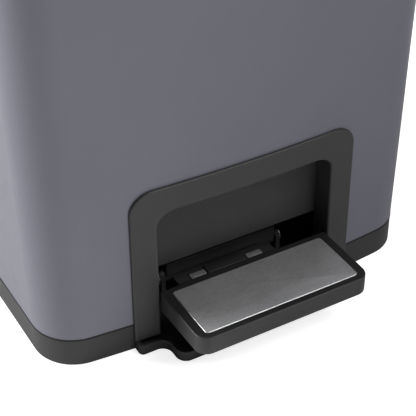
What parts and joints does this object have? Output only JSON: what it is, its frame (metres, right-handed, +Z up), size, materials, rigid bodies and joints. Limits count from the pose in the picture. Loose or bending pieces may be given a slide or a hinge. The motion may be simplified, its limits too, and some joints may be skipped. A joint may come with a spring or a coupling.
{
  "type": "double recycling bin",
  "caption": "Tall pedal bin with a bowed painted steel body, black base and rim, two inner buckets side by side and one wide lid lifted by a foot pedal.",
  "frame": {"origin": "on the floor, in the middle of the bin's bounding box", "axes": "+X to the bin's right as seen from the front, +Y from the pedal to the back, +Z up"},
  "size_m": [0.363, 0.395, 0.64],
  "materials": {
    "painted_steel": "satin metallic grey lacquer",
    "black_plastic": "fine grained, matt",
    "bucket_plastic": "smooth moulded, matt",
    "stainless": "brushed across",
    "zinc_steel": "zinc plated",
    "rubber": "matt"
  },
  "bodies": {
    "bin": {"base_tray": "black_plastic", "feet": "rubber", "body_shell": "painted_steel", "pedal_surround": "black_plastic", "recess_back_panel": "black_plastic", "surround_screws": "zinc_steel", "pedal_axle": "zinc_steel", "axle_clips": "zinc_steel", "rod_guides": "black_plastic", "bucket_shelf": "black_plastic", "shelf_screws": "zinc_steel", "bucket_left": "bucket_plastic", "bucket_right": "bucket_plastic", "top_rim": "black_plastic", "lid_buffers": "rubber", "hinge_brackets": "zinc_steel", "hinge_screws": "zinc_steel", "lid_damper": "black_plastic", "rear_grip": "black_plastic"},
    "lid": {"lid_panel": "painted_steel", "lid_liner": "black_plastic", "lid_arms": "zinc_steel", "lid_screws": "zinc_steel", "lid_crank": "zinc_steel", "hinge_shaft": "zinc_steel"},
    "pedal": {"pedal_tread": "black_plastic", "tread_plate": "stainless", "pedal_lever": "zinc_steel", "lever_rivets": "zinc_steel"},
    "lift_rod": {"lift_rod": "zinc_steel"}
  },
  "joints": [
    {"name": "lid_hinge", "type": "hinge", "parent": "bin", "child": "lid", "pos_m": [0, 0.1675, 0.6065], "axis": [-1, 0, 0], "range_deg": [0, 75]},
    {"name": "pedal_hinge", "type": "hinge", "parent": "bin", "child": "pedal", "pos_m": [0, -0.0875, 0.026], "axis": [1, 0, 0], "range_deg": [0, 7.88]},
    {"name": "rod_slide", "type": "slide", "parent": "bin", "child": "lift_rod", "axis": [0, 0, 1], "range_m": [0, 0.03176]}
  ],
  "couplings": [
    {"joint": "pedal_hinge", "follows": "lid_hinge", "ratio": 0.10433},
    {"joint": "rod_slide", "follows": "lid_hinge", "m_per_rad": 0.024183}
  ]
}
